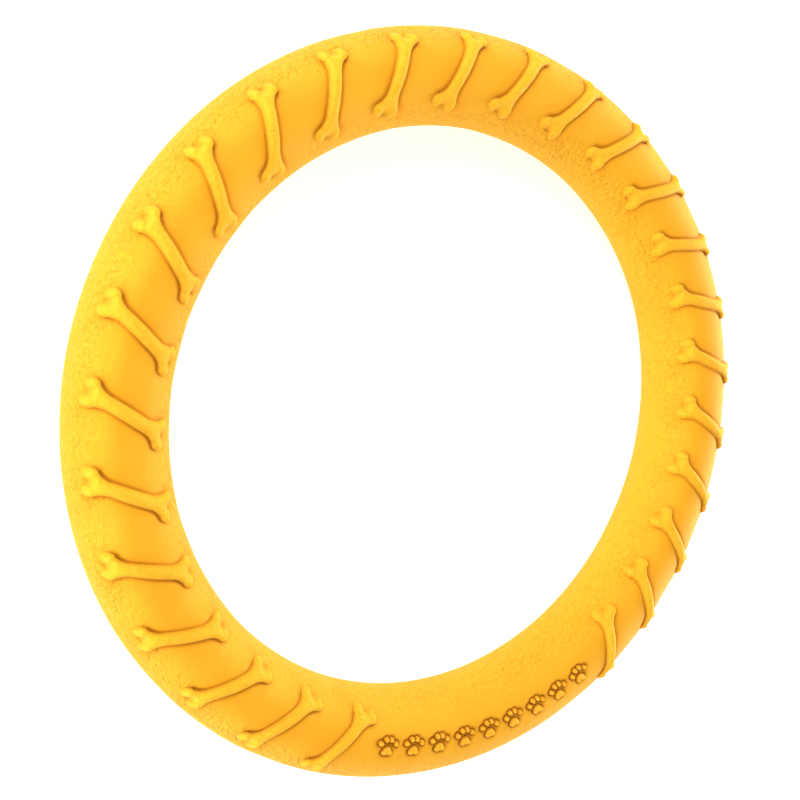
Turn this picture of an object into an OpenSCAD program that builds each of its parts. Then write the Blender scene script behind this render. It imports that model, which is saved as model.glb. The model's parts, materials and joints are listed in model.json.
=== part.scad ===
/* [Ring] */
// Outer diameter of the ring
ring_d = 280; // [240:5:320]
// Thickness of the round foam tube
tube_d = 34.6; // [30:0.2:38]
// Width of the flat land that the ring lies on
rest_land_w = 6; // [4:0.5:10]
// Height of the trimmed mould land round the inside of the hole
hole_land_h = 3; // [2:0.5:5]

/* [Bones] */
// Number of raised bones
bone_count = 26; // [2:1:26]
// Angle round the ring from one bone to the next, in degrees
bone_pitch = 12; // [10:0.5:12]
// Lean of a bone away from the radial direction, in degrees
bone_lean = 30.6; // [0:0.2:36]
// Length of a bone between the middles of its two heads
bone_len = 25.8; // [22:0.2:27]
// Width of a bone's shaft
bone_shaft_w = 4.3; // [3:0.1:5.5]
// Radius of the hollow curve where the shaft widens into a head
bone_flare_r = 7.5; // [4:0.5:8]
// Radius of each of the four lobes
bone_lobe_r = 2; // [1.8:0.1:2.3]
// How much further along the bone one lobe of a head sits than the middle of that head
head_twist = 0.9; // [0:0.1:1]
// Distance between the two lobes of the outer head
outer_lobe_gap = 5.4; // [4.8:0.1:6]
// Distance between the two lobes of the inner head
inner_lobe_gap = 5.8; // [5:0.1:6.5]
// How far a bone stands out of the foam at its middle
bone_relief = 1.6; // [0.8:0.1:2]
// How much more a bone stands out on the outer side of the tube than on top
bone_bias = 0.2; // [0:0.1:0.8]

/* [Paw prints] */
// Number of paw prints on the plain stretch
paw_count = 9; // [1:1:9]
// Angle round the ring from one paw print to the next, in degrees
paw_pitch = 5.3; // [5:0.1:5.5]
// Height of a paw print across the tube
paw_h = 8; // [6:0.5:9]
// How far a paw print stands out of the foam
paw_relief = 1.1; // [0.5:0.1:1.5]

/* [Hidden] */
$fn = 96;

tube_r = tube_d / 2;
// Radius of the circle that the tube's middle runs along
mid_r = ring_d / 2 - tube_r;
// Depth of a flat cut of width w into the round tube
function land_depth(w) = tube_r - sqrt(tube_r * tube_r - w * w / 4);
rest_depth = land_depth(rest_land_w);
hole_depth = land_depth(hole_land_h);
hole_r = mid_r - tube_r + hole_depth;
// Height of the tube's middle over the face that the ring lies on
mid_z = tube_r - rest_depth;

// The plain stretch is centred on -Y, and the bones share out the rest of the ring
first_bone_angle = 270 - (360 - bone_pitch * (bone_count - 1)) / 2;
// A bone's middle lies a little outside the tube's middle circle
bone_shift = 0.6;
// How far a flare and a lobe run into each other, so that they cross cleanly
flare_bite = 0.05;
// Half the angle of the wedge of foam shell that a bone or a paw print is cut from
bone_reach = 12;
paw_reach = 4;
// Toes of a paw print: their radius, spacing, and the curve that their row follows
toe_r = 0.115 * paw_h;
toe_gap = 0.265 * paw_h;
toe_row = -0.35 * paw_h;
toe_curve = 0.085 * paw_h;

// Cross-section of the tube, grown by extra and moved outwards by bias
module tube_section(extra, bias) {
    translate([mid_r + bias, mid_z])
        circle(tube_r + extra);
}

// The foam skin between the ring's surface and a surface further out, over a short wedge
module relief_shell(extra, bias, reach) {
    rotate([0, 0, -reach])
        rotate_extrude(angle = 2 * reach)
            difference() {
                tube_section(extra, bias);
                tube_section(0, 0);
            }
}

// Middle of a lobe: end is 1 at the outer head and -1 at the inner head
function lobe_gap(end) = end > 0 ? outer_lobe_gap : inner_lobe_gap;
function lobe_middle(end, side) = [
    end * bone_len / 2 - side * head_twist,
    side * lobe_gap(end) / 2
];

// Distance along a bone from a lobe's middle back to the middle of the flare beside it
function flare_reach(end) =
    sqrt(pow(bone_flare_r + bone_lobe_r - flare_bite, 2)
        - pow(bone_flare_r + (bone_shaft_w - lobe_gap(end)) / 2, 2));

// Distance along a bone from a lobe's middle back to where the flare meets the lobe
function flare_end(end) = flare_reach(end) * bone_lobe_r / (bone_lobe_r + bone_flare_r);

// Round-ended slot that is cut from one side of the bone blank to leave the shaft
module waist_cutter(side) {
    inner_x = lobe_middle(-1, side).x + flare_reach(-1);
    outer_x = lobe_middle(1, side).x - flare_reach(1);
    translate([0, side * (bone_shaft_w / 2 + bone_flare_r)]) {
        for (x = [inner_x, outer_x])
            translate([x, 0])
                circle(bone_flare_r);
        translate([inner_x, -bone_flare_r])
            square([outer_x - inner_x, 2 * bone_flare_r]);
    }
}

// One side of a bone's shaft with its two flares
module shaft_side(side) {
    inner_x = lobe_middle(-1, side).x + flare_end(-1);
    outer_x = lobe_middle(1, side).x - flare_end(1);
    difference() {
        translate([inner_x, side > 0 ? 0 : -inner_lobe_gap])
            square([outer_x - inner_x, inner_lobe_gap]);
        waist_cutter(side);
    }
}

// Outline of a bone along +X, with the outer head at +X
module bone_outline() {
    difference() {
        polygon([
            lobe_middle(-1, -1),
            lobe_middle(1, -1),
            lobe_middle(1, 1),
            lobe_middle(-1, 1)
        ]);
        for (side = [-1, 1])
            waist_cutter(side);
    }
    for (side = [-1, 1]) {
        shaft_side(side);
        for (end = [-1, 1])
            translate(lobe_middle(end, side))
                circle(bone_lobe_r);
    }
}

// Outline of a paw print with its toes towards -X, the middle of the ring
module paw_outline() {
    translate([0.16 * paw_h, 0])
        circle(0.19 * paw_h);
    for (side = [-1, 1])
        translate([0.26 * paw_h, side * 0.13 * paw_h])
            circle(0.13 * paw_h);
    for (toe = [-1.5:1:1.5])
        translate([toe_row + toe_curve * toe * toe, toe * toe_gap])
            circle(toe_r);
}

// Wall of an outline drawn straight up through the front half of the tube
module straight_up() {
    translate([mid_r, 0, mid_z])
        linear_extrude(tube_r + 5)
            children();
}

module ring_body() {
    color([0.98, 0.74, 0.16])
        rotate_extrude()
            intersection() {
                tube_section(0, 0);
                translate([hole_r, 0])
                    square([ring_d, tube_d]);
            }
}

module bone(i) {
    color([0.99, 0.82, 0.2])
        rotate([0, 0, first_bone_angle - bone_pitch * (i - 1)])
            intersection() {
                relief_shell(bone_relief, bone_bias, bone_reach);
                straight_up()
                    translate([bone_shift, 0])
                        rotate(-bone_lean)
                            bone_outline();
            }
}

module paw(i) {
    color([0.95, 0.68, 0.14])
        rotate([0, 0, 270 + paw_pitch * (i - (paw_count + 1) / 2)])
            intersection() {
                relief_shell(paw_relief, 0, paw_reach);
                straight_up()
                    paw_outline();
            }
}

ring_body();
for (i = [1:bone_count])
    bone(i);
for (i = [1:paw_count])
    paw(i);
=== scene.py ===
"""Looks of a moulded foam tug and flying ring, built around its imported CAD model.

The foam ring, each raised bone and each raised paw print is a piece of its own. The bones and paw
prints are height fields over the front of the tube: their walls rise along the ring's axis, as a
two-part mould leaves them, and their edges are rounded.

Lengths are in millimetres until a mesh, a light or the camera is placed, and those are in metres.
"""

import json
import math

import bpy
import numpy as np
from mathutils import Matrix, Vector


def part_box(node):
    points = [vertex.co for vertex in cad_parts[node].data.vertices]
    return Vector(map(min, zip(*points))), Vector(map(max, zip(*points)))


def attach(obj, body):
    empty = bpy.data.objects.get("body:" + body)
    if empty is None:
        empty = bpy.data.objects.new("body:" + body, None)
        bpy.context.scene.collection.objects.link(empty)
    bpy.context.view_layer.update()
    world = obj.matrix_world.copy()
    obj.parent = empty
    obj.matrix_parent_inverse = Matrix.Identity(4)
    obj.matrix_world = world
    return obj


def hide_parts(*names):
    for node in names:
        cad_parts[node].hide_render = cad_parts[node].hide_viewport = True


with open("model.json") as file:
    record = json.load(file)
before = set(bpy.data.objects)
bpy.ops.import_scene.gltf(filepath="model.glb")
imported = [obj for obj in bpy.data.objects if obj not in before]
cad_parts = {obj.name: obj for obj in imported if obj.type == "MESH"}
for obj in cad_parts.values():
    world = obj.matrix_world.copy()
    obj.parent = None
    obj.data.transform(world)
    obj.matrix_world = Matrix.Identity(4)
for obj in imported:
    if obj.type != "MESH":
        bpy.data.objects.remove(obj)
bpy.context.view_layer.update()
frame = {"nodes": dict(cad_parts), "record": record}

MM = 0.001

# ---------------------------------------------------------------------------------------------
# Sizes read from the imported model, in millimetres
# ---------------------------------------------------------------------------------------------

record = frame["record"]
ring_hole = next(m for m in record["mounts"] if m["name"] == "ring_hole")
ring_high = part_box("ring_body")[1]
RING_R = ring_high.x / MM
MID_Z = ring_hole["pos_m"][2] / MM
HOLE_R = ring_hole["dims"]["r_mm"]
TUBE_R = ring_high.z / MM - MID_Z
MID_R = RING_R - TUBE_R
BONES = sorted(n for n in frame["nodes"] if n.startswith("bone_"))
PAWS = sorted(n for n in frame["nodes"] if n.startswith("paw_"))

# ---------------------------------------------------------------------------------------------
# Sizes of the raised shapes, in millimetres and degrees, as in the CAD source
# ---------------------------------------------------------------------------------------------

BONE_PITCH = 12.0
FIRST_BONE_ANGLE = 240.0
BONE_LEAN = 30.6
BONE_SHIFT = 0.6
BONE_LEN = 25.8
BONE_SHAFT_R = 2.15
BONE_FLARE_R = 7.5
BONE_LOBE_R = 2.0
HEAD_TWIST = 0.9
OUTER_LOBE_GAP = 5.4
INNER_LOBE_GAP = 5.8
BONE_RELIEF = 1.6
BONE_BIAS = 0.2

PAW_PITCH = 5.3
PAW_H = 8.0
PAW_RELIEF = 1.1
# Parts of a paw print as shares of its height: how far out each sits, how far aside, and its radius
PALM_OUT, PALM_R = 0.16, 0.19
HEEL_OUT, HEEL_SIDE, HEEL_R = 0.26, 0.13, 0.13
TOE_OUT, TOE_CURVE, TOE_GAP, TOE_R = -0.35, 0.085, 0.265, 0.115

# ---------------------------------------------------------------------------------------------
# Moulded softness that the CAD source leaves out, in millimetres
# ---------------------------------------------------------------------------------------------

# How far a head's plain end lies beyond the line through the middles of its two lobes
HEAD_END = 0.4
# Distance over which a lobe runs into its bone, and a heel pad into its palm
LOBE_BLEND = 0.7
HEEL_BLEND = 0.5
# How far a raised shape's rim runs out beyond its outline, how deep it dips there, under the ring's
# surface, and how deep the underside of its solid lies
RIM = 0.3
SINK = 0.6
SKIRT = 1.2
# Width of the rounded wall of a raised shape, and the share of its height that is its crown
BONE_WALL, BONE_CROWN = 0.85, 0.42
PAW_WALL, PAW_CROWN = 0.5, 0.2
# Height of the swelling on each lobe, and the square of its radius
LOBE_BULGE, LOBE_BULGE_R2 = 0.1, 1.4
# Dimple in the skin of a head: how far beyond its lobes' middles, its depth and its half-width
DIMPLE_OUT, DIMPLE_DEPTH, DIMPLE_R = 0.6, 0.9, 0.8
# Small pit in the ring in a head's notch: how far beyond the lobes' middles, its depth and radius
PIT_OUT, PIT_DEPTH, PIT_R = 1.05, 0.6, 0.8
# Crease in the ring beside a raised shape: where it is deepest, and its depth and width
CREASE_OUT = 0.25
BONE_CREASE_DEPTH, BONE_CREASE_WIDTH = 0.3, 0.58
PAW_CREASE_DEPTH, PAW_CREASE_WIDTH = 0.75, 0.55
# Share of the crease, and of the painted shade beside a bone, that is lost at a bone's tips, which
# start this far inside its length
TIP_FADE = 0.7
TIP_START, TIP_RUN = 1.5, 2.5
# Gap that keeps the ring's surface just inside the CAD's
RING_INSET = 0.02
# Slow unevenness of the foam: a wave's height, its number round the ring and tube, and its phase
SWELL_WAVES = ((0.05, 5, 2, 0.4), (0.035, 11, -3, 1.9), (0.025, 19, 4, 4.1))
SWELL_DROP = 0.1
# Clear distance at which the unevenness starts, and the run over which it grows
SWELL_FROM_PAW, SWELL_PAW_RUN = 1.0, 5
SWELL_FROM_BONE, SWELL_BONE_RUN = 1.5, 6

# Spacing of the ring's columns beside a bone, as (start, step) stops at distances from its middle
# line, and of the even columns under a bone and on the plain stretch
BESIDE_COLUMNS = [(1.7, 0.4), (4.6, 0.75), (7.2, 2.2)]
UNDER_STEP = 0.57
PLAIN_STEP = 0.5
# Spacing of the ring's rows, as (start, step) stops at distances round the tube from its top
FRONT_EDGE = 20.5
ROWS = [(-FRONT_EDGE, 0.66), (-4.8, 0.42), (4.8, 0.66), (FRONT_EDGE, 4.0)]
# Spacing of the grids of the raised shapes
BONE_STEP = 0.3
PAW_STEP = 0.2

# ---------------------------------------------------------------------------------------------
# Where the foam's looks change, as vertex attributes from 0 to 1
# ---------------------------------------------------------------------------------------------

# The leathery mould texture, and the painted light that lightens the colour on the sides of the
# tube where more light falls, start at this angle from the front of the tube, in degrees, and grow
# over this run. Both are weaker on the inner side of the tube, and weaker still on the raised
# shapes.
GRAIN_AND_PAINTED_LIGHT_START, GRAIN_AND_PAINTED_LIGHT_RUN = 12, 50
INNER_GRAIN_AND_PAINTED_LIGHT = 0.75
RAISED_GRAIN_AND_PAINTED_LIGHT = 0.3
# Painted shade beside a raised shape, a darker tone standing in for the soft shadow there: the
# distance over which it fades, and its strength at a paw print
BONE_PAINTED_SHADE_RUN = 2.8
PAW_PAINTED_SHADE, PAW_PAINTED_SHADE_RUN = 0.8, 1.2
# Painted highlight on a raised shape, a lighter tone on its top standing in for the light that
# falls there: how far inside its outline it is full, its strength on the middle of the tube, how
# much it gains towards the outer side, and over how far
PAINTED_HIGHLIGHT_RUN = 1.5
PAINTED_HIGHLIGHT, PAINTED_HIGHLIGHT_GAIN, PAINTED_HIGHLIGHT_GAIN_RUN = 0.25, 0.25, 10


def clamp01(x):
    return np.clip(x, 0.0, 1.0)


def smooth(x):
    """Smooth step from 0 at x = 0 to 1 at x = 1."""
    x = clamp01(x)
    return x * x * (3 - 2 * x)


def smooth_min(a, b, k):
    """The smaller of two distances, blended over k where they are close."""
    h = clamp01(0.5 + 0.5 * (b - a) / k)
    return b + (a - b) * h - k * h * (1 - h)


def lobe_middle(end, side):
    """Middle of a lobe along and across a bone. end is 1 at the outer head, -1 at the inner."""
    gap = OUTER_LOBE_GAP if end > 0 else INNER_LOBE_GAP
    return end * BONE_LEN / 2 - side * HEAD_TWIST, side * gap / 2


def flared_side(x, y, end, side):
    """Distance to one side of a shaft, where it flares towards the lobe at one end."""
    lobe_x, lobe_y = lobe_middle(end, side)
    middle_y = BONE_SHAFT_R + BONE_FLARE_R
    span = BONE_FLARE_R + BONE_LOBE_R
    reach = math.sqrt(span**2 - (middle_y - abs(lobe_y)) ** 2)
    run = np.clip(end * (x - lobe_x) + reach, 0, reach * BONE_FLARE_R / span)
    rise = np.sqrt(BONE_FLARE_R**2 - run**2)
    return (side * y - middle_y + rise) * rise / BONE_FLARE_R


def head_line(x, y, end):
    """Distance beyond the line through the two lobes of a head."""
    (ax, ay), (bx, by) = lobe_middle(end, -1), lobe_middle(end, 1)
    return end * ((x - ax) * (by - ay) - (y - ay) * (bx - ax)) / math.hypot(bx - ax, by - ay)


def bone_distance(x, y):
    """Distance to a bone's outline, less than 0 inside it. x runs along it, outer head at +x."""
    sides = [
        np.minimum(flared_side(x, y, 1, side), flared_side(x, y, -1, side)) for side in (-1, 1)
    ]
    ends = [head_line(x, y, end) - HEAD_END for end in (-1, 1)]
    d = np.maximum(np.maximum(*sides), np.maximum(*ends))
    for end in (-1, 1):
        for side in (-1, 1):
            lobe_x, lobe_y = lobe_middle(end, side)
            d = smooth_min(d, np.hypot(x - lobe_x, y - lobe_y) - BONE_LOBE_R, LOBE_BLEND)
    return d


def paw_distance(x, y):
    """Distance to a paw print's outline. Its toes are towards -x, the middle of the ring."""
    h = PAW_H
    d = np.hypot(x - PALM_OUT * h, y) - PALM_R * h
    for side in (-1, 1):
        heel = np.hypot(x - HEEL_OUT * h, y - side * HEEL_SIDE * h) - HEEL_R * h
        d = smooth_min(d, heel, HEEL_BLEND)
    for toe in (-1.5, -0.5, 0.5, 1.5):
        toe_x = TOE_OUT * h + TOE_CURVE * h * toe * toe
        d = np.minimum(d, np.hypot(x - toe_x, y - toe * TOE_GAP * h) - TOE_R * h)
    return d


# ---------------------------------------------------------------------------------------------
# Places on the tube
# ---------------------------------------------------------------------------------------------


def swell(angle, tilt):
    """Slow unevenness of the moulded foam at a ring angle and a tube angle."""
    waves = (h * np.sin(round_ring * angle + round_tube * tilt + phase)
             for h, round_ring, round_tube, phase in SWELL_WAVES)
    return sum(waves) - SWELL_DROP


def to_world(angle, radius, z):
    """Points in metres from a ring angle, a distance from the axis and a height."""
    return np.stack([radius * np.cos(angle), radius * np.sin(angle), z], -1) * MM


def mesh_object(name, points, faces):
    """A smooth-shaded object in the scene, from points in metres and faces as point numbers."""
    mesh = bpy.data.meshes.new(name)
    mesh.from_pydata(points.tolist(), [], [list(map(int, f)) for f in faces])
    mesh.validate()
    mesh.update()
    mesh.polygons.foreach_set("use_smooth", [True] * len(mesh.polygons))
    piece = bpy.data.objects.new(name, mesh)
    bpy.context.scene.collection.objects.link(piece)
    return piece


def set_attribute(piece, name, values):
    """A number at each point of a piece, for its material to read."""
    attribute = piece.data.attributes.new(name, "FLOAT", "POINT")
    attribute.data.foreach_set("value", np.asarray(values, np.float32))


# ---------------------------------------------------------------------------------------------
# Distances from the whole relief, used by the ring for the creases beside the raised shapes
# ---------------------------------------------------------------------------------------------


def bone_angle(i):
    """Ring angle of the middle of a bone, counted from 0."""
    return math.radians(FIRST_BONE_ANGLE - BONE_PITCH * i)


def paw_angle(i):
    """Ring angle of the middle of a paw print, counted from 0. Their row is centred on -Y."""
    return math.radians(270 + PAW_PITCH * (i - (len(PAWS) - 1) / 2))


def local_plan(angle, radius, centre):
    """Plan position relative to the tube's middle at a ring angle: outwards, and round the ring."""
    turn = angle - centre
    return radius * np.cos(turn) - MID_R, radius * np.sin(turn)


def bone_frame(out, along):
    """Plan position relative to a bone: along it, and across it."""
    lean = math.radians(-BONE_LEAN)
    out = out - BONE_SHIFT
    x = out * math.cos(lean) + along * math.sin(lean)
    y = -out * math.sin(lean) + along * math.cos(lean)
    return x, y


def relief_distance(angle, radius):
    """Distance in plan to the nearest bone and to the nearest paw print, how near the place is to a
    bone's tips, from 0 along its shaft to 1, and the depth of the pit in the notch of a head."""
    bones = np.full(angle.shape, np.inf)
    tips = np.zeros(angle.shape)
    pits = np.zeros(angle.shape)
    for turn in (-1, 0, 1):
        a = angle + turn * 2 * math.pi
        k = np.clip(np.round((bone_angle(0) - a) / math.radians(BONE_PITCH)), 0, len(BONES) - 1)
        centre = bone_angle(0) - k * math.radians(BONE_PITCH)
        x, y = bone_frame(*local_plan(a, radius, centre))
        d = bone_distance(x, y)
        tip = smooth((np.abs(x) - BONE_LEN / 2 + TIP_START) / TIP_RUN)
        tips = np.where(d < bones, tip, tips)
        bones = np.minimum(bones, d)
        for end in (-1, 1):
            far = np.hypot(x - end * (BONE_LEN / 2 + PIT_OUT), y)
            pits = np.maximum(pits, PIT_DEPTH * np.exp(-((far / PIT_R) ** 2)))
    angle = np.mod(angle, 2 * math.pi)
    k = np.clip(np.round((angle - paw_angle(0)) / math.radians(PAW_PITCH)), 0, len(PAWS) - 1)
    centre = paw_angle(0) + k * math.radians(PAW_PITCH)
    paws = paw_distance(*local_plan(angle, radius, centre))
    return bones, paws, tips, pits


# ---------------------------------------------------------------------------------------------
# The foam ring
# ---------------------------------------------------------------------------------------------


def spread(stops, end):
    """Values up to, but without, an end, from a list of (start, step) stops."""
    parts = []
    for (start, step), stop in zip(stops, [start for start, _ in stops[1:]] + [end]):
        count = max(1, round((stop - start) / step))
        parts.append(np.linspace(start, stop, count, endpoint=False))
    return np.concatenate(parts)


def ring_columns():
    """Ring angles of the tube's columns, close together beside bones and at the paw prints."""
    half_pitch = MID_R * math.radians(BONE_PITCH) / 2
    beside = spread(BESIDE_COLUMNS, half_pitch)
    under = spread([(-beside[0], UNDER_STEP)], beside[0])
    before = -np.append(beside, half_pitch)[:0:-1]
    cell = np.concatenate([before, under, beside]) / MID_R
    bones = [bone_angle(i) + cell for i in range(len(BONES) - 1, -1, -1)]
    start = bone_angle(0) + half_pitch / MID_R
    end = bone_angle(len(BONES) - 1) - half_pitch / MID_R + 2 * math.pi
    plain = spread([(start, PLAIN_STEP / MID_R)], end)
    return np.concatenate(bones + [plain])


def ring_rows():
    """Angles round the tube of its rows, close together on the front where the relief is."""
    return spread(ROWS, 2 * math.pi * TUBE_R - FRONT_EDGE) / TUBE_R


def moat(distance, depth, width):
    """Depth of the mould's crease beside a raised shape, at a distance from its outline."""
    return depth * np.exp(-(((distance - CREASE_OUT) / width) ** 2))


def ring_looks(ring, tilt, bones, paws, tips):
    """Set the ring's vertex attributes from its tube angles and its distances to the relief."""
    # How strong the leathery texture is, which also sets the painted light that lightens the sides
    # of the tube
    turn = np.abs(np.degrees(np.mod(tilt + math.pi, 2 * math.pi) - math.pi))
    side_share = np.where(np.sin(tilt) > 0, 1.0, INNER_GRAIN_AND_PAINTED_LIGHT)
    set_attribute(ring, "grain_and_painted_light", (smooth((turn - GRAIN_AND_PAINTED_LIGHT_START) / GRAIN_AND_PAINTED_LIGHT_RUN) * side_share).ravel())
    set_attribute(ring, "painted_highlight", np.zeros(tilt.size))
    # Painted shade: a darker tone beside the bones and paw prints, where shade falls, fading at the
    # bones' tips
    painted_relief_shade = np.exp(-np.maximum(bones, 0) / BONE_PAINTED_SHADE_RUN) * (1 - TIP_FADE * tips)
    painted_relief_shade += PAW_PAINTED_SHADE * np.exp(-np.maximum(paws, 0) / PAW_PAINTED_SHADE_RUN)
    set_attribute(ring, "painted_relief_shade", np.where(np.cos(tilt) > 0, clamp01(painted_relief_shade), 0.0).ravel())


def make_ring():
    """The tube. Its columns lean as the bones do, so that they run along the creases."""
    columns, tilt = np.meshgrid(ring_columns(), ring_rows(), indexing="ij")
    side = TUBE_R * np.sin(tilt)
    lean = np.arctan2((BONE_SHIFT - side) * math.tan(math.radians(BONE_LEAN)), MID_R + side)
    angle = columns + lean
    bones, paws, tips, pits = relief_distance(angle, MID_R + side)
    front = np.cos(tilt) > 0
    crease = moat(bones, BONE_CREASE_DEPTH, BONE_CREASE_WIDTH) * (1 - TIP_FADE * tips)
    crease += moat(paws, PAW_CREASE_DEPTH, PAW_CREASE_WIDTH) + pits
    crease = np.where(front, crease, 0.0)
    ease = smooth((paws - SWELL_FROM_PAW) / SWELL_PAW_RUN)
    ease *= smooth((bones - SWELL_FROM_BONE) / SWELL_BONE_RUN)
    ease = np.where(front, ease, 1.0)

    tube_r = TUBE_R - RING_INSET - crease + np.minimum(swell(angle, tilt) * ease, 0)
    radius = np.maximum(MID_R + tube_r * np.sin(tilt), HOLE_R)
    z = np.maximum(MID_Z + tube_r * np.cos(tilt), 0)

    index = np.arange(angle.size).reshape(angle.shape)
    east = np.roll(index, -1, 0)
    faces = np.stack([index, east, np.roll(east, -1, 1), np.roll(index, -1, 1)], -1)
    ring = mesh_object("foam_ring", to_world(angle, radius, z).reshape(-1, 3), faces.reshape(-1, 4))
    ring_looks(ring, tilt, bones, paws, tips)
    return ring


# ---------------------------------------------------------------------------------------------
# Raised shapes
# ---------------------------------------------------------------------------------------------


def trimmed_grid(distance, rim, reach, step):
    """Points and faces of a grid over a box, trimmed along the line where distance is rim.

    A point within about half a step of the line is moved onto it, so the edge is clean.
    """
    rounds, nearness, least_slope, slack, tiny = 4, 0.55 * step, 0.25, 0.02, 1e-3
    xs = np.arange(-reach[0], reach[0] + step, step)
    ys = np.arange(-reach[1], reach[1] + step, step)
    x, y = np.meshgrid(xs, ys, indexing="ij")
    for _ in range(rounds):
        off = distance(x, y) - rim
        slope_x = (distance(x + tiny, y) - distance(x - tiny, y)) / (2 * tiny)
        slope_y = (distance(x, y + tiny) - distance(x, y - tiny)) / (2 * tiny)
        size = np.maximum(slope_x * slope_x + slope_y * slope_y, least_slope)
        near = np.abs(off) < nearness
        x = np.where(near, x - off * slope_x / size, x)
        y = np.where(near, y - off * slope_y / size, y)
    inside = (distance(x, y) - rim < slack).ravel()
    index = np.arange(x.size).reshape(x.shape)
    cells = np.stack([index[:-1, :-1], index[1:, :-1], index[1:, 1:], index[:-1, 1:]], -1)
    faces = []
    for cell in cells.reshape(-1, 4):
        kept = [v for v in cell if inside[v]]
        if len(kept) >= 3:
            faces.append(kept)
    used = sorted({v for face in faces for v in face})
    new = {v: i for i, v in enumerate(used)}
    faces = [[new[v] for v in face] for face in faces]
    return x.ravel()[used], y.ravel()[used], faces


def close_solid(top, bottom, faces):
    """Points and faces of a closed solid: a top, the same faces turned over below, and a rim."""
    count = len(top)
    edges = {}
    for face in faces:
        for a, b in zip(face, face[1:] + face[:1]):
            edges[(a, b)] = True
    rim = [(a, b) for a, b in edges if (b, a) not in edges]
    closed = list(faces)
    closed += [[v + count for v in reversed(face)] for face in faces]
    closed += [[b, a, a + count, b + count] for a, b in rim]
    return np.concatenate([top, bottom]), closed


def rounded(depth, width, crown):
    """Height share of a moulded shape at a depth inside its outline, from 0 to 1.

    It rises over width at the wall, which starts a little outside the outline, and its last share,
    crown, rises over a longer way.
    """
    wall_start, crown_run = -0.15, 2.4 * width
    wall = smooth((depth - wall_start) / width)
    return wall * (1 - crown + crown * smooth(depth / crown_run))


def rim_dip(depth):
    """How far a raised shape's skin dips under the ring's surface, just outside its outline."""
    dip_start, dip_run = 0.05, 0.35
    return SINK * smooth((dip_start - depth) / dip_run)


def raise_shape(name, centre, outline, to_plan, height_at, reach, step, bias):
    """A closed raised shape on the front of the tube, with its middle at a ring angle.

    outline is its distance function, to_plan turns its own places to plan places, and height_at
    gives the height of its skin over the tube from a place and its depth inside the outline. bias
    is how far its skin moves outwards, as a share of its height.
    """
    x, y, faces = trimmed_grid(outline, RIM, reach, step)
    depth = -outline(x, y)
    height = height_at(x, y, depth)
    out, along = to_plan(x, y)
    radius = np.hypot(MID_R + out, along)
    angle = centre + np.arctan2(along, MID_R + out)
    side = radius - MID_R
    top = MID_Z + np.sqrt((TUBE_R + height) ** 2 - (side - bias * height) ** 2)
    bottom = MID_Z + np.sqrt((TUBE_R - SKIRT) ** 2 - side**2)
    points, closed = close_solid(
        to_world(angle, radius, top), to_world(angle, radius, bottom), faces
    )
    piece = mesh_object(name, points, closed)
    # A weak leathery texture, with a little of the painted light that goes with it
    set_attribute(piece, "grain_and_painted_light", np.full(len(points), RAISED_GRAIN_AND_PAINTED_LIGHT))
    # Painted highlight: a lighter tone over the shape's top, stronger towards the outer side of the
    # tube
    painted_highlight = smooth(depth / PAINTED_HIGHLIGHT_RUN) * (PAINTED_HIGHLIGHT + PAINTED_HIGHLIGHT_GAIN * smooth(side / PAINTED_HIGHLIGHT_GAIN_RUN))
    set_attribute(piece, "painted_highlight", np.concatenate([painted_highlight, painted_highlight]))
    set_attribute(piece, "painted_relief_shade", np.zeros(len(points)))
    return piece


def bone_to_plan(x, y):
    """Plan position, outwards and round the ring, of a point along and across a bone."""
    lean = math.radians(-BONE_LEAN)
    out = x * math.cos(lean) - y * math.sin(lean) + BONE_SHIFT
    return out, x * math.sin(lean) + y * math.cos(lean)


def bone_height(x, y, depth):
    """Height of a bone's skin: a rounded bar with plump lobes and a dimple in each notch."""
    height = BONE_RELIEF * rounded(depth, BONE_WALL, BONE_CROWN)
    for end in (-1, 1):
        for side in (-1, 1):
            lobe_x, lobe_y = lobe_middle(end, side)
            far2 = (x - lobe_x) ** 2 + (y - lobe_y) ** 2
            height += LOBE_BULGE * np.exp(-far2 / LOBE_BULGE_R2) * smooth(depth)
        notch = (x - end * (BONE_LEN / 2 + DIMPLE_OUT)) ** 2 + (y / DIMPLE_R) ** 2
        height -= DIMPLE_DEPTH * np.exp(-notch) * smooth(depth + RIM)
    return np.clip(height, 0, BONE_RELIEF) - rim_dip(depth)


def paw_height(x, y, depth):
    """Height of a paw print's skin: five plump pads."""
    return PAW_RELIEF * rounded(depth, PAW_WALL, PAW_CROWN) - rim_dip(depth)


def make_bone(i):
    """One bone. Its grid reaches past its twisted heads and its lobes, with room for the rim."""
    reach = (BONE_LEN / 2 + BONE_LOBE_R + 1.5, INNER_LOBE_GAP / 2 + BONE_LOBE_R + 1)
    return raise_shape(
        f"foam_{BONES[i]}", bone_angle(i), bone_distance, bone_to_plan, bone_height, reach,
        BONE_STEP, BONE_BIAS / BONE_RELIEF,
    )


def make_paw(i):
    """One paw print. Its own places are plan places already."""
    reach = (PAW_H / 2 + 1, PAW_H / 2 + 1)
    return raise_shape(
        f"foam_{PAWS[i]}", paw_angle(i), paw_distance, lambda x, y: (x, y), paw_height, reach,
        PAW_STEP, 0.0,
    )


# ---------------------------------------------------------------------------------------------
# Materials
# ---------------------------------------------------------------------------------------------


def new_material(name):
    material = bpy.data.materials.new(name)
    material.use_nodes = True
    tree = material.node_tree
    tree.nodes.clear()
    return material, tree


def find_input(node, key):
    """A node's input from a key: i and its number, or its name with _ for each space."""
    if key[0] == "i" and key[1:].isdigit():
        return node.inputs[int(key[1:])]
    return node.inputs[key.replace("_", " ")]


def add_node(tree, kind, settings=None, **inputs):
    """A node with its properties from settings and its inputs by key, as values or links."""
    node = tree.nodes.new(kind)
    for key, value in (settings or {}).items():
        setattr(node, key, value)
    for key, value in inputs.items():
        socket = find_input(node, key)
        if isinstance(value, bpy.types.NodeSocket):
            tree.links.new(value, socket)
        else:
            socket.default_value = value
    return node


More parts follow.
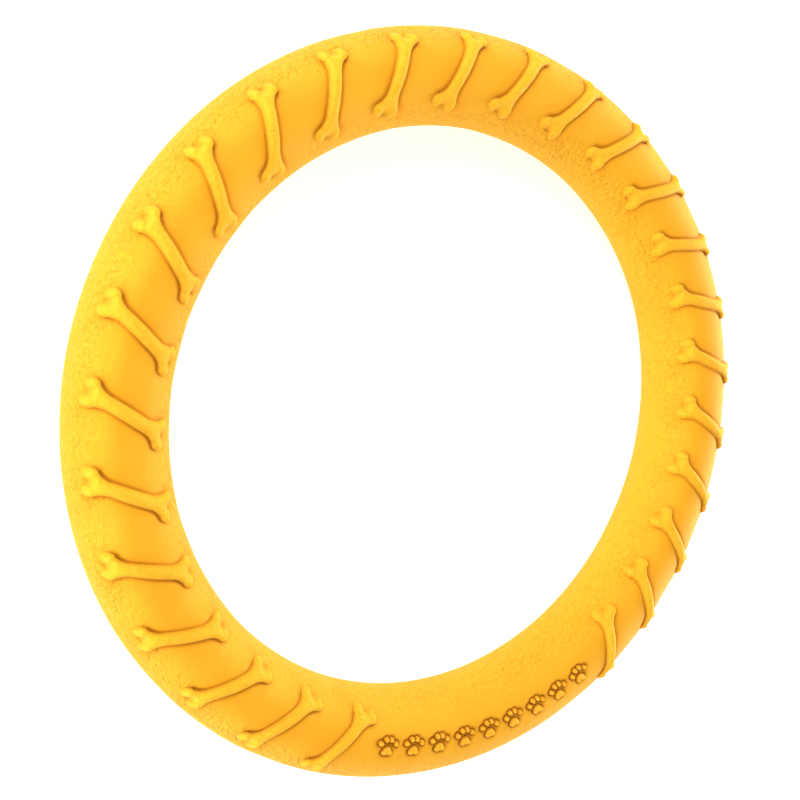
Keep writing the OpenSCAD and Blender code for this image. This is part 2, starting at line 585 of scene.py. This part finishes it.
def map_range(tree, value, low, high, to_low, to_high):
    """value taken from the range low..high to the range to_low..to_high, and held inside it."""
    node = add_node(
        tree, "ShaderNodeMapRange", None, i0=value, i1=low, i2=high, i3=to_low, i4=to_high
    )
    return node.outputs[0]


def multiply(tree, a, b):
    node = add_node(tree, "ShaderNodeMath", {"operation": "MULTIPLY"}, i0=a, i1=b)
    return node.outputs[0]


def multiply_add(tree, a, b, c):
    node = add_node(tree, "ShaderNodeMath", {"operation": "MULTIPLY_ADD"}, i0=a, i1=b, i2=c)
    return node.outputs[0]


def mix_colour(tree, factor, a, b):
    """Colour between a and b. A mix node has a float, a vector and a colour socket of each name."""
    node = add_node(tree, "ShaderNodeMix", {"data_type": "RGBA"}, i0=factor, i6=a, i7=b)
    return node.outputs[2]


def foam_grain(tree, place, grain_and_painted_light):
    """Height of the fine leathery mould texture, for a bump, and the wrinkles that it comes from.
    """
    wrinkle = add_node(
        tree, "ShaderNodeTexNoise", None, Vector=place, Scale=560.0, Detail=3.0, Roughness=0.5,
        Distortion=0.5,
    ).outputs["Fac"]
    pore = add_node(
        tree, "ShaderNodeTexVoronoi", {"feature": "SMOOTH_F1"}, Vector=place, Scale=1300.0,
        Smoothness=0.5,
    ).outputs["Distance"]
    pore_share = 0.2
    return multiply(tree, multiply_add(tree, pore, pore_share, wrinkle), grain_and_painted_light), wrinkle


def foam_material(name, base, cloud_and_painted_light, painted_relief_shade_colour, painted_highlight_colour, painted_shade_colour):
    """Closed-cell foam: clouded colour, with painted shade in creases, in the hollows of its
    wrinkles and beside raised shapes, painted light on the sides of the tube and a painted
    highlight on the tops of raised shapes, and a fine leathery mould texture.
    """
    material, tree = new_material(name)
    place = add_node(tree, "ShaderNodeTexCoord").outputs["Object"]
    grain_and_painted_light, painted_highlight, painted_relief_shade = (
        add_node(tree, "ShaderNodeAttribute", {"attribute_name": part}).outputs["Fac"]
        for part in ("grain_and_painted_light", "painted_highlight", "painted_relief_shade")
    )
    height, wrinkle = foam_grain(tree, place, grain_and_painted_light)
    bump = add_node(tree, "ShaderNodeBump", None, Strength=1.0, Distance=0.0021, Height=height)

    cloud = add_node(
        tree, "ShaderNodeTexNoise", None, Vector=place, Scale=45.0, Detail=3.0, Roughness=0.6
    ).outputs["Fac"]
    # The colour lightens with random cloud, and with the texture strength as painted light on the
    # sides of the tube
    most_cloud, painted_light_share = 0.4, 0.6
    cloud = map_range(tree, cloud, 0.3, 0.7, 0.0, most_cloud)
    body = mix_colour(tree, multiply_add(tree, grain_and_painted_light, painted_light_share, cloud), base, cloud_and_painted_light)
    # Painted shade beside the raised shapes
    body = mix_colour(tree, painted_relief_shade, body, painted_relief_shade_colour)
    # Painted highlight on the tops of the raised shapes
    body = mix_colour(tree, painted_highlight, body, painted_highlight_colour)
    # Painted shade in the hollows of the wrinkles
    most_pit = 0.10
    pit = multiply(tree, map_range(tree, wrinkle, 0.5, 0.25, 0.0, most_pit), grain_and_painted_light)
    body = mix_colour(tree, pit, body, painted_shade_colour)
    # Painted shade in creases: darker where ambient occlusion finds the surface closed in
    open_air = add_node(
        tree, "ShaderNodeAmbientOcclusion", {"samples": 8}, Distance=0.0022
    ).outputs["AO"]
    closed, open_enough = 0.42, 0.93
    shade = map_range(tree, open_air, closed, open_enough, 1.0, 0.0)
    body = mix_colour(tree, shade, body, painted_shade_colour)

    shader = add_node(
        tree, "ShaderNodeBsdfPrincipled", None, Base_Color=body, Normal=bump.outputs[0],
        Roughness=map_range(tree, wrinkle, 0.3, 0.7, 0.58, 0.7),
    )
    shader.inputs["Specular IOR Level"].default_value = 0.12
    shader.inputs["Sheen Weight"].default_value = 0.02
    shader.inputs["Sheen Roughness"].default_value = 0.4
    shader.inputs["Subsurface Weight"].default_value = 0.1
    shader.inputs["Subsurface Radius"].default_value = (1.0, 0.45, 0.12)
    shader.inputs["Subsurface Scale"].default_value = 0.001
    add_node(tree, "ShaderNodeOutputMaterial", None, Surface=shader.outputs[0])
    return material


def floor_material():
    """Matt pale floor with a little light of its own, as a studio's lit backdrop has."""
    material, tree = new_material("pale_floor")
    shader = add_node(
        tree, "ShaderNodeBsdfPrincipled", None, Base_Color=(0.9, 0.9, 0.9, 1), Roughness=0.9
    )
    shader.inputs["Specular IOR Level"].default_value = 0.1
    shader.inputs["Emission Color"].default_value = (1, 1, 1, 1)
    shader.inputs["Emission Strength"].default_value = 0.62
    add_node(tree, "ShaderNodeOutputMaterial", None, Surface=shader.outputs[0])
    return material


# ---------------------------------------------------------------------------------------------
# Camera, lights and floor
# ---------------------------------------------------------------------------------------------

# Where the camera looks from, in degrees, and its distance from the point that it looks at, which
# is at the height of the tube's middle, in millimetres
CAMERA_AZIMUTH, CAMERA_ELEVATION, CAMERA_ROLL = 155.9, 59.05, 105.42
CAMERA_DISTANCE = 416.93
AIM_X, AIM_Y = -15.82, 8.27
CAMERA_LENS = 51.0
# Distance from the middle of the scene to each light, and the width of its panel, in metres
LIGHT_DISTANCE = 1.2
LIGHT_WIDTH = 1.4
# Half the width of the floor in metres, and its level, a hair under the ring, so that the two
# surfaces don't coincide
FLOOR_REACH = 3.0
FLOOR_LEVEL = -0.05 * MM


def turned_view(azimuth, elevation, roll):
    """Camera axes as a matrix: it looks down from azimuth and elevation, turned by roll."""
    az, el = math.radians(azimuth), math.radians(elevation)
    back = Vector((math.cos(az) * math.cos(el), math.sin(az) * math.cos(el), math.sin(el)))
    right = Vector((0, 0, 1)).cross(back).normalized()
    up = back.cross(right)
    axes = Matrix((right, up, back)).transposed()
    return axes @ Matrix.Rotation(math.radians(roll), 3, "Z"), back


def make_camera():
    camera = bpy.data.cameras.new("camera")
    camera.sensor_width = 36
    camera.lens = CAMERA_LENS
    camera.clip_start = 0.01
    camera.clip_end = 50
    holder = bpy.data.objects.new("camera", camera)
    bpy.context.scene.collection.objects.link(holder)
    axes, back = turned_view(CAMERA_AZIMUTH, CAMERA_ELEVATION, CAMERA_ROLL)
    aim = Vector((AIM_X, AIM_Y, MID_Z)) * MM
    holder.matrix_world = Matrix.Translation(aim + back * CAMERA_DISTANCE * MM) @ axes.to_4x4()
    bpy.context.scene.camera = holder


def area_light(name, azimuth, elevation, height, power):
    """A panel of light that faces the middle of the scene. Its height is in metres."""
    light = bpy.data.lights.new(name, "AREA")
    light.shape = "RECTANGLE"
    light.size = LIGHT_WIDTH
    light.size_y = height
    light.energy = power
    holder = bpy.data.objects.new(name, light)
    bpy.context.scene.collection.objects.link(holder)
    axes, back = turned_view(azimuth, elevation, 0)
    holder.matrix_world = Matrix.Translation(back * LIGHT_DISTANCE) @ axes.to_4x4()


def make_world(horizon, zenith):
    """Even white studio light, with one strength at the horizon and one overhead."""
    world = bpy.data.worlds.new("studio")
    bpy.context.scene.world = world
    world.use_nodes = True
    tree = world.node_tree
    direction = add_node(tree, "ShaderNodeTexCoord").outputs["Generated"]
    height = add_node(tree, "ShaderNodeSeparateXYZ", None, Vector=direction).outputs["Z"]
    strength = map_range(tree, height, 0.0, 1.0, horizon, zenith)
    background = tree.nodes["Background"]
    background.inputs["Color"].default_value = (1, 1, 1, 1)
    tree.links.new(strength, background.inputs["Strength"])


def make_floor():
    """A plain square under the ring."""
    corners = np.array([[-1, -1], [1, -1], [1, 1], [-1, 1]]) * FLOOR_REACH
    corners = np.column_stack([corners, np.full(len(corners), FLOOR_LEVEL)])
    floor = mesh_object("floor", corners, [[0, 1, 2, 3]])
    floor.data.materials.append(floor_material())


make_camera()
make_world(horizon=0.5, zenith=0.1)
make_floor()
area_light("right_box", azimuth=-11, elevation=12, height=0.5, power=20.5)
area_light("left_box", azimuth=169, elevation=12, height=0.5, power=4.4)
area_light("low_left_box", azimuth=214, elevation=12, height=0.5, power=7.0)
area_light("top_box", azimuth=109, elevation=38, height=0.7, power=14.0)
area_light("left_fill", azimuth=229, elevation=38, height=0.7, power=3.5)

foam = foam_material(
    "yellow_foam",
    base=(0.90, 0.405, 0.017, 1),
    cloud_and_painted_light=(0.93, 0.488, 0.026, 1),
    painted_relief_shade_colour=(0.88, 0.365, 0.012, 1),
    painted_highlight_colour=(0.95, 0.60, 0.028, 1),
    painted_shade_colour=(0.36, 0.11, 0.002, 1),
)

ring = make_ring()
ring.data.materials.append(foam)
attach(ring, "root")
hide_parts("ring_body")

for i, node in enumerate(BONES):
    bone = make_bone(i)
    bone.data.materials.append(foam)
    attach(bone, "root")
    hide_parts(node)

for i, node in enumerate(PAWS):
    paw = make_paw(i)
    paw.data.materials.append(foam)
    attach(paw, "root")
    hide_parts(node)

bpy.context.scene.view_settings.view_transform = "Standard"
bpy.context.scene.view_settings.look = "None"
